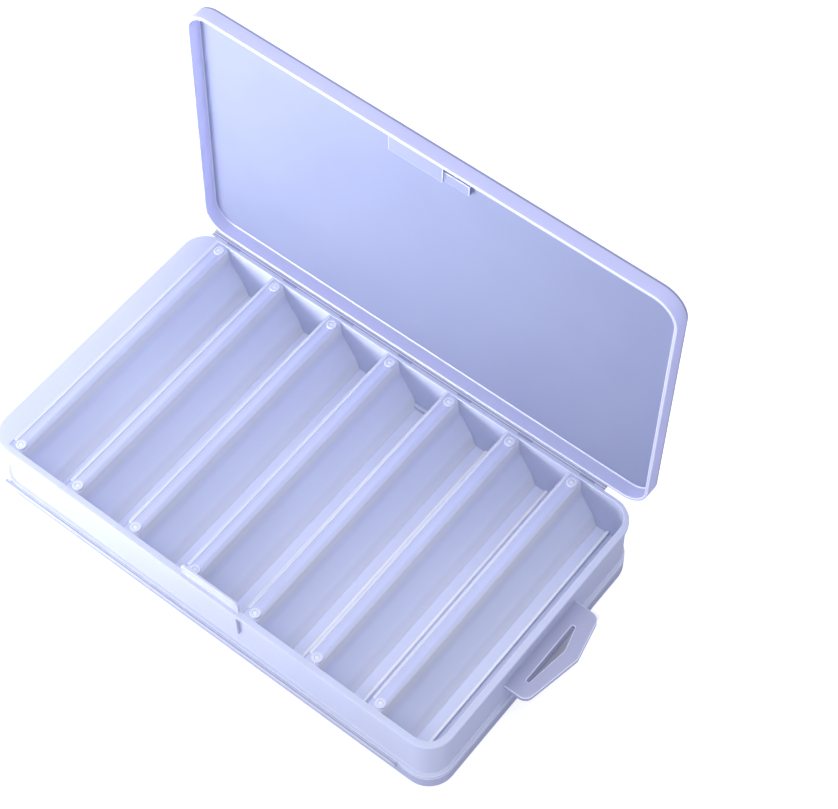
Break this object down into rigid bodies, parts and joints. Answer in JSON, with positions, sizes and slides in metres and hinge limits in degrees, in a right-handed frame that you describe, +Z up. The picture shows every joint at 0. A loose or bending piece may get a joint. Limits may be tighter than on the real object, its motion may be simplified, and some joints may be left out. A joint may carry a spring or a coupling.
{
  "type": "double-sided tackle box",
  "caption": "Flat two-sided organizer box in frosted plastic: one corrugated partition gives compartments on both faces, each shut by a shallow film-hinged lid with a latch.",
  "frame": {"origin": "Centre of the flat underside of the lower lid, which the box stands on", "axes": "+X along the box's length to the carry tab, +Y from front to back, where the upper lid is hinged, +Z up"},
  "size_m": [0.1895, 0.1154, 0.1312],
  "materials": {
    "tray": "frosted translucent polypropylene, 1.1 mm",
    "partition": "frosted translucent polypropylene, 0.9 mm",
    "lid": "frosted translucent polypropylene, 0.9 mm, smoother than the tray",
    "film": "thin hinge film of the same polypropylene, whitened where it bends"
  },
  "bodies": {
    "tray": {"tray_frame": "tray", "curved_divider_1": "partition", "curved_divider_2": "partition", "curved_divider_3": "partition", "curved_divider_4": "partition", "curved_divider_5": "partition", "curved_divider_6": "partition", "curved_divider_7": "partition", "sloped_divider_1": "partition", "sloped_divider_2": "partition", "sloped_divider_3": "partition", "sloped_divider_4": "partition", "sloped_divider_5": "partition", "sloped_divider_6": "partition", "carry_tab": "tray", "top_latch_tongue": "tray", "bottom_latch_tongue": "tray", "top_hinge_film": "film", "bottom_hinge_film": "film"},
    "top_lid": {"top_lid": "lid", "top_lid_catch": "lid"},
    "bottom_lid": {"bottom_lid": "lid", "bottom_lid_catch": "lid"}
  },
  "joints": [
    {"name": "top_lid_hinge", "type": "hinge", "parent": "tray", "child": "top_lid", "pos_m": [0, 0.0524, 0.0273], "axis": [-1, 0, 0], "range_deg": [-92, 88], "deforming": ["top_hinge_film"]},
    {"name": "bottom_lid_hinge", "type": "hinge", "parent": "tray", "child": "bottom_lid", "pos_m": [0, -0.0524, 0.0067], "axis": [-1, 0, 0], "range_deg": [0, 180], "deforming": ["bottom_hinge_film"]}
  ]
}
